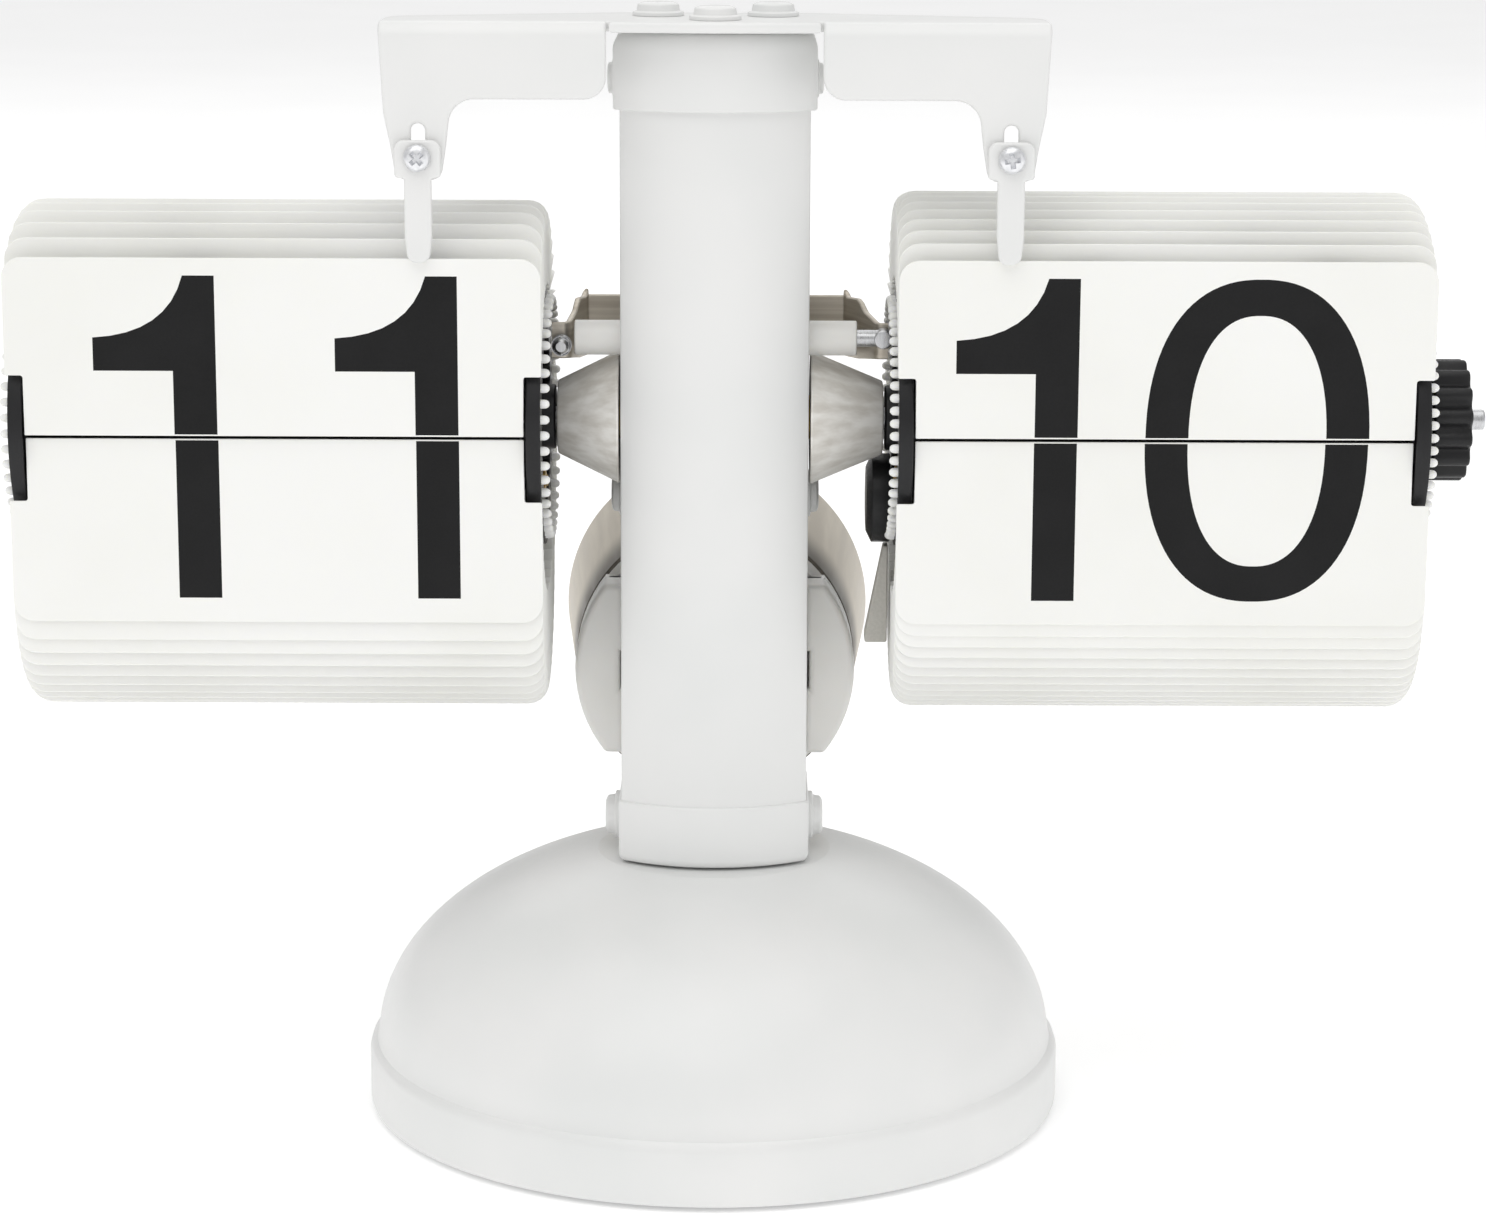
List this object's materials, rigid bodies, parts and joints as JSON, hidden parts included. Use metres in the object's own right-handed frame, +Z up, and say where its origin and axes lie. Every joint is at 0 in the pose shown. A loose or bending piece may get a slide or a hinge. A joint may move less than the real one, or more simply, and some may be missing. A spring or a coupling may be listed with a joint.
{
  "type": "flip number clock",
  "caption": "Flip clock on a domed pedestal: hour and minute leaves turn on one axle either side of a column, with a setting knob, leaf fingers and a rear battery sleeve.",
  "frame": {"origin": "centre of the round base on the surface it stands on", "axes": "+Z up, +X along the drum axis towards the setting knob, the leaves face -Y"},
  "size_m": [0.2037, 0.1202, 0.1556],
  "materials": {
    "white_paint": "satin white stove enamel",
    "white_plastic": "moulded, soft sheen",
    "leaf_plastic": "matt printed sheet with dark numerals",
    "black_plastic": "moulded, fine satin",
    "cream_plastic": "moulded, satin",
    "warm_steel": "brushed, warm",
    "bright_steel": "plated, bright",
    "cast_iron": "as cast",
    "brass": "turned",
    "pad_rubber": "matt non-slip sheet",
    "cell_label": "plain printed sleeve without lettering"
  },
  "bodies": {
    "stand": {"base_dome": "white_paint", "column_foot": "white_paint", "column": "white_paint", "column_cap": "white_paint", "foot_rivet_left": "white_paint", "foot_rivet_right": "white_paint", "column_rivet_left": "white_paint", "column_rivet_right": "white_paint", "cap_rivet_left": "white_paint", "cap_rivet_right": "white_paint", "arm_bracket": "white_paint", "arm_rivet_front": "white_paint", "arm_rivet_left": "white_paint", "arm_rivet_right": "white_paint", "spacer_tube": "white_plastic", "battery_holder": "white_plastic", "hour_lower_leaf": "leaf_plastic", "minute_lower_leaf": "leaf_plastic", "hour_leaf_fan": "leaf_plastic", "minute_leaf_fan": "leaf_plastic", "hour_leaf_stack": "leaf_plastic", "minute_leaf_stack": "leaf_plastic", "hour_gearbox": "black_plastic", "minute_movement": "black_plastic", "motor_housing": "black_plastic", "guide_plate": "cream_plastic", "hour_axle_sleeve": "warm_steel", "minute_axle_sleeve": "warm_steel", "battery_sleeve": "warm_steel", "saddle_bracket": "warm_steel", "tie_rod": "bright_steel", "bracket_nut": "bright_steel", "bracket_stud": "bright_steel", "column_bolt": "bright_steel", "base_plate": "bright_steel", "base_ballast": "cast_iron", "hour_bush": "brass", "minute_bush": "brass", "battery_contact": "brass", "base_pad": "pad_rubber"},
    "minute_drum": {"minute_ring_gear": "black_plastic", "minute_drum_tube": "black_plastic", "minute_outer_disc": "black_plastic", "minute_axle": "bright_steel", "set_knob": "black_plastic"},
    "hour_drum": {"hour_ring_gear": "black_plastic", "hour_drum_tube": "black_plastic", "hour_outer_disc": "black_plastic", "hour_axle": "bright_steel"},
    "motor_pinion": {"motor_pinion": "brass"},
    "hour_pinion": {"hour_pinion": "brass"},
    "minute_leaf": {"minute_leaf": "leaf_plastic"},
    "hour_leaf": {"hour_leaf": "leaf_plastic"},
    "minute_finger": {"minute_finger": "white_paint", "minute_finger_screw": "bright_steel"},
    "hour_finger": {"hour_finger": "white_paint", "hour_finger_screw": "bright_steel"},
    "battery_cap": {"battery_cap": "white_plastic", "battery_spring": "bright_steel"},
    "battery_cell": {"battery_cell": "cell_label"}
  },
  "joints": [
    {"name": "minute_spin", "type": "hinge", "parent": "stand", "child": "minute_drum", "pos_m": [0.06085, 0, 0.0982], "axis": [1, 0, 0], "continuous": true},
    {"name": "hour_spin", "type": "hinge", "parent": "stand", "child": "hour_drum", "pos_m": [-0.05935, 0, 0.0982], "axis": [1, 0, 0], "continuous": true},
    {"name": "motor_pinion_spin", "type": "hinge", "parent": "stand", "child": "motor_pinion", "pos_m": [0.02625, 0.00281, 0.0886], "axis": [1, 0, 0], "continuous": true},
    {"name": "hour_pinion_spin", "type": "hinge", "parent": "stand", "child": "hour_pinion", "pos_m": [-0.02475, 0.00281, 0.0886], "axis": [1, 0, 0], "continuous": true},
    {"name": "minute_leaf_fall", "type": "hinge", "parent": "stand", "child": "minute_leaf", "pos_m": [0.06085, -0.0172, 0.0985], "axis": [1, 0, 0], "range_deg": [0, 174]},
    {"name": "hour_leaf_fall", "type": "hinge", "parent": "stand", "child": "hour_leaf", "pos_m": [-0.05935, -0.0172, 0.0985], "axis": [1, 0, 0], "range_deg": [0, 174]},
    {"name": "minute_finger_adjust", "type": "slide", "parent": "stand", "child": "minute_finger", "axis": [0, 0, 1], "range_m": [-0.0008, 0.0034]},
    {"name": "hour_finger_adjust", "type": "slide", "parent": "stand", "child": "hour_finger", "axis": [0, 0, 1], "range_m": [-0.0008, 0.0034]},
    {"name": "battery_cap_pull", "type": "slide", "parent": "stand", "child": "battery_cap", "axis": [0, 1, 0], "range_m": [0, 0.06]},
    {"name": "battery_cell_slide", "type": "slide", "parent": "stand", "child": "battery_cell", "axis": [0, 1, 0], "range_m": [0, 0.06]}
  ],
  "couplings": [
    {"joint": "hour_spin", "follows": "minute_spin", "ratio": 0.041667},
    {"joint": "motor_pinion_spin", "follows": "minute_spin", "ratio": 5},
    {"joint": "hour_pinion_spin", "follows": "minute_spin", "ratio": 0.25},
    {"joint": "battery_cell_slide", "follows": "battery_cap_pull", "ratio": 1}
  ]
}
